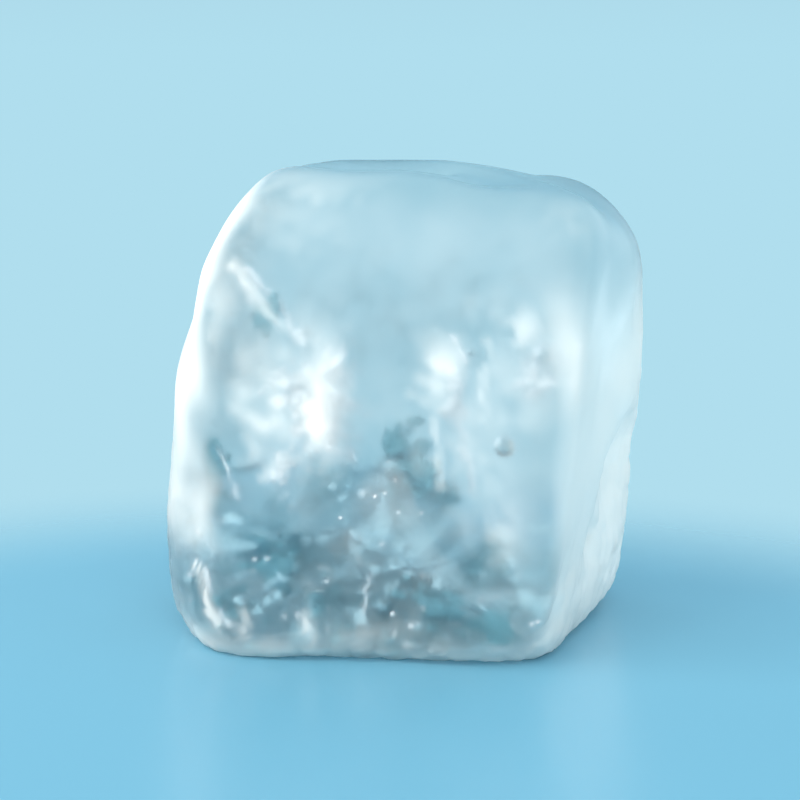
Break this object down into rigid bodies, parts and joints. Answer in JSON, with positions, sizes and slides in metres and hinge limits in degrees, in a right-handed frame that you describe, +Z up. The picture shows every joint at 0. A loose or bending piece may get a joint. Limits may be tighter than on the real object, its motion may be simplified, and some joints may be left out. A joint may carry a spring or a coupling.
{
  "type": "ice nugget",
  "caption": "Compact melt-rounded block of clear ice with a flat foot, softly dented faces, low ledges and small open pits.",
  "frame": {"origin": "on the ground, under the middle of the block's outline", "axes": "+Z up, out of the flat foot; +X towards the smooth right face; -Y towards the front, the block being narrowest from front to back"},
  "size_m": [0.0166, 0.0138, 0.0164],
  "materials": {
    "ice": "clear ice with a soft melted skin, frosted white on its sides and in patches on the front, with cracks and air bubbles inside"
  },
  "bodies": {
    "root": {"ice_nugget": "ice"}
  },
  "joints": []
}
